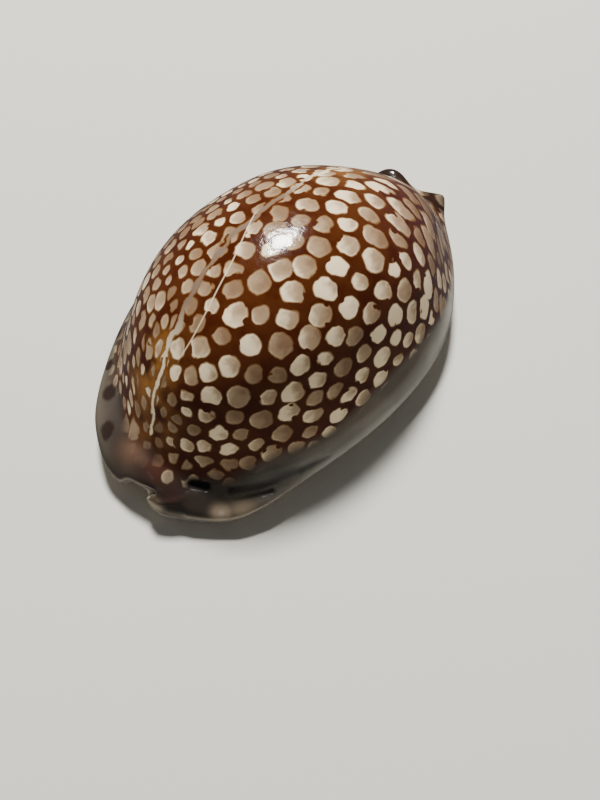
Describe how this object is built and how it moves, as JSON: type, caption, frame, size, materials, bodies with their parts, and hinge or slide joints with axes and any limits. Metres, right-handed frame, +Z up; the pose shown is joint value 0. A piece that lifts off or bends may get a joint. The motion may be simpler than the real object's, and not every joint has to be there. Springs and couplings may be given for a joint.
{
  "type": "reticulated cowrie shell",
  "caption": "Hollow egg-shaped cowrie shell with a high domed back, thickened margins, a flat base and a long narrow toothed aperture.",
  "frame": {"origin": "on the resting plane, under the middle of the shell's bounding box", "axes": "+Z up through the dorsum, +Y towards the posterior end, -Y towards the anterior end, -X towards the outer (labral) lip, +X towards the columellar lip"},
  "size_m": [0.0452, 0.0704, 0.0309],
  "materials": {
    "shell": "porcelain gloss, pale rounded spots in a dark brown network, grey-taupe callused margins and a pale fawn base with brown teeth"
  },
  "bodies": {
    "root": {"shell": "shell"}
  },
  "joints": []
}
